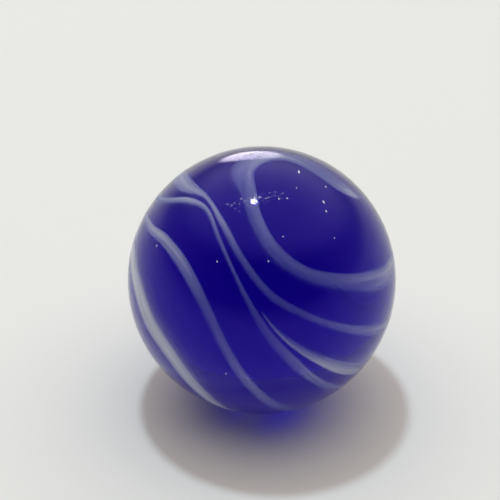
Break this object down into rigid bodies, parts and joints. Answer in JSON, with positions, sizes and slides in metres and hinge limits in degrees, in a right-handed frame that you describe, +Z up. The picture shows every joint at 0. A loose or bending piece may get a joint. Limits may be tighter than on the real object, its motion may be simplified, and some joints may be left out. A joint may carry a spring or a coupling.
{
  "type": "glass marble",
  "caption": "Solid ball of clear cobalt-blue glass with milky white veins swirled through its surface, to roll, play with or set in a holder.",
  "frame": {"origin": "centre of the ball", "axes": "+Z up; +X to the right and -Y towards the viewer of the swirl's pictured side"},
  "size_m": [0.016, 0.016, 0.016],
  "materials": {
    "blue_glass": "fire-polished clear cobalt glass",
    "white_glass": "fire-polished milky glass"
  },
  "bodies": {
    "root": {"blue_glass": "blue_glass", "white_swirl": "white_glass"}
  },
  "joints": []
}
